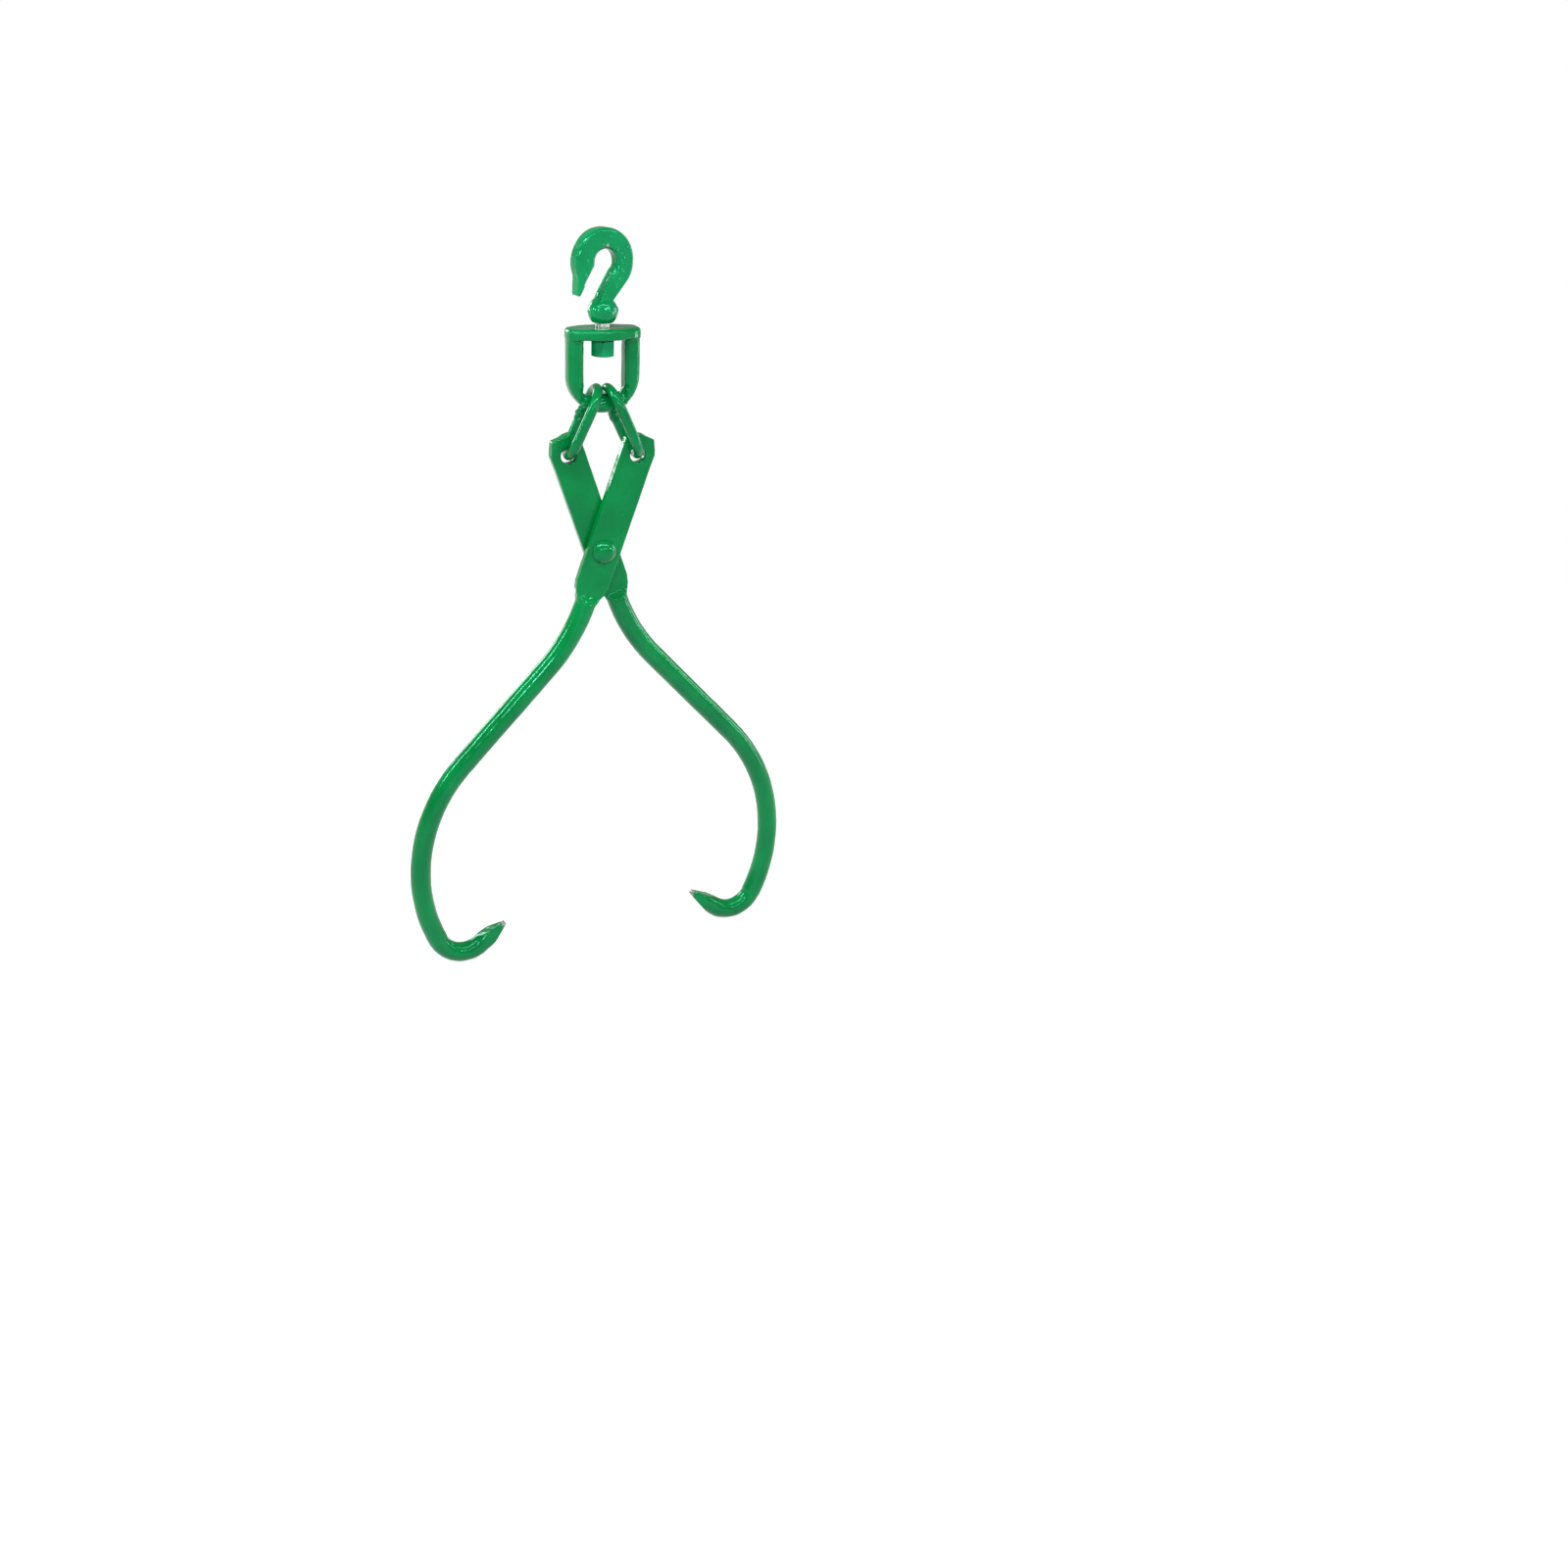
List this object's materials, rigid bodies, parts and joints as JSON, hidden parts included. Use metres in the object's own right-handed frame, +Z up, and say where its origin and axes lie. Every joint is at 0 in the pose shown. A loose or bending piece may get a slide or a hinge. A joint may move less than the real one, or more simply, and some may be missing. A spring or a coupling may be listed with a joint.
{
  "type": "log tongs",
  "caption": "Hanging log tongs: riveted scissor arms with inward claws, hung by links from a swivelling yoke under a lifting hook.",
  "frame": {"origin": "centre of the hook's bowl, where the hoist pulls", "axes": "+Z up along the swivel's axis, +X across the tongs towards the back arm's claw, +Y from the front arm to the back arm"},
  "size_m": [0.4506, 0.0641, 0.8235],
  "materials": {
    "hook": "glossy green enamel over forged steel, bare bright steel on the shank",
    "swivel_nut": "glossy green enamel",
    "yoke": "thick glossy enamel over hot-forged steel, with runs and forging dimples",
    "link_right": "glossy green enamel over welded round steel",
    "link_left": "glossy green enamel over welded round steel",
    "front_arm": "thick glossy enamel over hot-forged steel, with runs and forging dimples",
    "back_arm": "thick glossy enamel over hot-forged steel, with runs and forging dimples",
    "rivet": "glossy green enamel over a hammered rivet head",
    "thrust_washer": "plain turned steel, greased",
    "lock_pin": "plain ground steel"
  },
  "bodies": {
    "hook": {"hook": "hook", "thrust_washer": "thrust_washer", "swivel_nut": "swivel_nut", "lock_pin": "lock_pin"},
    "yoke": {"yoke": "yoke"},
    "link_right": {"link_right": "link_right"},
    "front_arm": {"front_arm": "front_arm", "rivet": "rivet"},
    "back_arm": {"back_arm": "back_arm"},
    "link_left": {"link_left": "link_left"}
  },
  "joints": [
    {"name": "swivel", "type": "hinge", "parent": "hook", "child": "yoke", "pos_m": [0, 0, -0.07425], "axis": [0, 0, 1], "continuous": true},
    {"name": "right_link_swing", "type": "hinge", "parent": "yoke", "child": "link_right", "pos_m": [0.006, 0, -0.13405], "axis": [0, -1, 0], "range_deg": [-6.34, 32.63]},
    {"name": "front_eye", "type": "hinge", "parent": "link_right", "child": "front_arm", "pos_m": [0.03725, -0.0059, -0.20588], "axis": [0, 1, 0], "range_deg": [-10.59, 54.63]},
    {"name": "tongs_open", "type": "hinge", "parent": "front_arm", "child": "back_arm", "pos_m": [0, 0, -0.31224], "axis": [0, -1, 0], "range_deg": [-8.5, 44]},
    {"name": "back_eye", "type": "hinge", "parent": "back_arm", "child": "link_left", "pos_m": [-0.03725, 0.0059, -0.20588], "axis": [0, 1, 0], "range_deg": [-10.59, 54.63]}
  ],
  "couplings": [
    {"joint": "right_link_swing", "follows": "tongs_open", "ratio": 0.74043},
    {"joint": "front_eye", "follows": "tongs_open", "ratio": 1.2404},
    {"joint": "back_eye", "follows": "tongs_open", "ratio": 1.2404}
  ]
}
